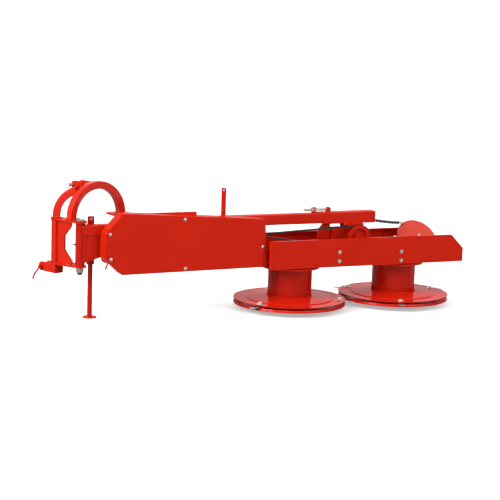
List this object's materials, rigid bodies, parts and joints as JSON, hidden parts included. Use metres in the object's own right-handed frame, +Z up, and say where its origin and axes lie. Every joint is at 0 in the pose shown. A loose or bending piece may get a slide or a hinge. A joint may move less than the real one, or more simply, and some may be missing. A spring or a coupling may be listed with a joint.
{
  "type": "rotary drum mower",
  "caption": "Tractor-mounted rotary drum mower parked on its stand: swinging three-point headstock, belt drive under a cover, telescopic beam, knife drums over skid dishes.",
  "frame": {"origin": "centre of the parking stand's foot, on the ground", "axes": "+X from the hitch out to the cutting drums, +Y forward to the tractor, +Z up"},
  "size_m": [2.9458, 0.973, 0.8799],
  "materials": {
    "red_paint": "gloss",
    "bare_steel": "zinc plated",
    "knife_steel": "dark forged",
    "belt_rubber": "matte"
  },
  "bodies": {
    "arm": {"pivot_post": "red_paint", "arm_tube": "red_paint", "arm_gusset": "red_paint", "main_plate": "red_paint", "beam_inner": "red_paint", "beam_outer": "red_paint", "beam_hanger": "red_paint", "screw_bracket": "red_paint", "tension_screw": "bare_steel", "screw_eye": "red_paint", "hinge_yoke": "red_paint", "belt_cover": "red_paint", "v_belts": "belt_rubber", "drive_housing": "red_paint", "stand_sleeve": "red_paint", "tension_lever": "red_paint", "idler_arm": "red_paint", "tensioner_bracket": "red_paint"},
    "headstock": {"head_top_plate": "red_paint", "head_bottom_plate": "red_paint", "head_columns": "red_paint", "head_webs": "red_paint", "right_top_plate": "red_paint", "right_bottom_plate": "red_paint", "rear_bow": "red_paint", "front_bow": "red_paint", "top_link_clevis": "red_paint", "top_link_pin": "bare_steel", "hitch_lugs": "red_paint", "hitch_pins": "bare_steel", "pivot_bolt": "bare_steel"},
    "stand": {"stand_leg": "red_paint", "stand_foot": "red_paint", "stand_pin": "bare_steel"},
    "cutter": {"gear_beam": "red_paint", "gear_end_covers": "red_paint", "bearing_caps": "red_paint", "rear_panel": "red_paint", "front_panel": "red_paint", "panel_brackets": "red_paint", "gearbox": "red_paint", "round_shield": "red_paint", "inner_bearing_housing": "red_paint", "outer_bearing_housing": "red_paint"},
    "drive": {"drive_pulley": "red_paint", "pto_shaft": "bare_steel"},
    "driven": {"driven_pulley": "red_paint", "driven_shaft": "bare_steel"},
    "idler": {"idler_pulley": "red_paint"},
    "inner_rotor": {"inner_drum": "red_paint", "inner_drum_top": "red_paint", "inner_disc": "red_paint", "inner_knives": "knife_steel"},
    "outer_rotor": {"outer_drum": "red_paint", "outer_drum_top": "red_paint", "outer_disc": "red_paint", "outer_knives": "knife_steel"},
    "inner_glide": {"inner_skid": "red_paint"},
    "outer_glide": {"outer_skid": "red_paint"}
  },
  "joints": [
    {"name": "headstock_swing", "type": "hinge", "parent": "arm", "child": "headstock", "pos_m": [-0.091, -0.0605, 0.5], "axis": [0, 0, 1], "range_deg": [-20, 70]},
    {"name": "stand_slide", "type": "slide", "parent": "arm", "child": "stand", "axis": [0, 0, 1], "range_m": [0, 0.11]},
    {"name": "cutter_float", "type": "hinge", "parent": "arm", "child": "cutter", "pos_m": [1.863, -0.0605, 0.483], "axis": [0, 1, 0], "range_deg": [-8, 8]},
    {"name": "drive_spin", "type": "hinge", "parent": "arm", "child": "drive", "pos_m": [0.2, -0.152, 0.407], "axis": [0, 1, 0], "continuous": true},
    {"name": "driven_spin", "type": "hinge", "parent": "cutter", "child": "driven", "pos_m": [1.863, -0.152, 0.483], "axis": [0, 1, 0], "continuous": true},
    {"name": "idler_spin", "type": "hinge", "parent": "arm", "child": "idler", "pos_m": [1.132, -0.152, 0.477], "axis": [0, 1, 0], "continuous": true},
    {"name": "inner_drum_spin", "type": "hinge", "parent": "cutter", "child": "inner_rotor", "pos_m": [1.407, -0.056, 0.15], "axis": [0, 0, 1], "continuous": true},
    {"name": "outer_drum_spin", "type": "hinge", "parent": "cutter", "child": "outer_rotor", "pos_m": [2.207, -0.056, 0.15], "axis": [0, 0, 1], "continuous": true},
    {"name": "inner_skid_spin", "type": "hinge", "parent": "cutter", "child": "inner_glide", "pos_m": [1.407, -0.056, 0.02], "axis": [0, 0, 1], "continuous": true},
    {"name": "outer_skid_spin", "type": "hinge", "parent": "cutter", "child": "outer_glide", "pos_m": [2.207, -0.056, 0.02], "axis": [0, 0, 1], "continuous": true}
  ],
  "couplings": [
    {"joint": "outer_drum_spin", "follows": "inner_drum_spin", "ratio": -1},
    {"joint": "drive_spin", "follows": "inner_drum_spin", "ratio": 0.4},
    {"joint": "driven_spin", "follows": "inner_drum_spin", "ratio": 0.4},
    {"joint": "idler_spin", "follows": "inner_drum_spin", "ratio": -0.9333}
  ]
}
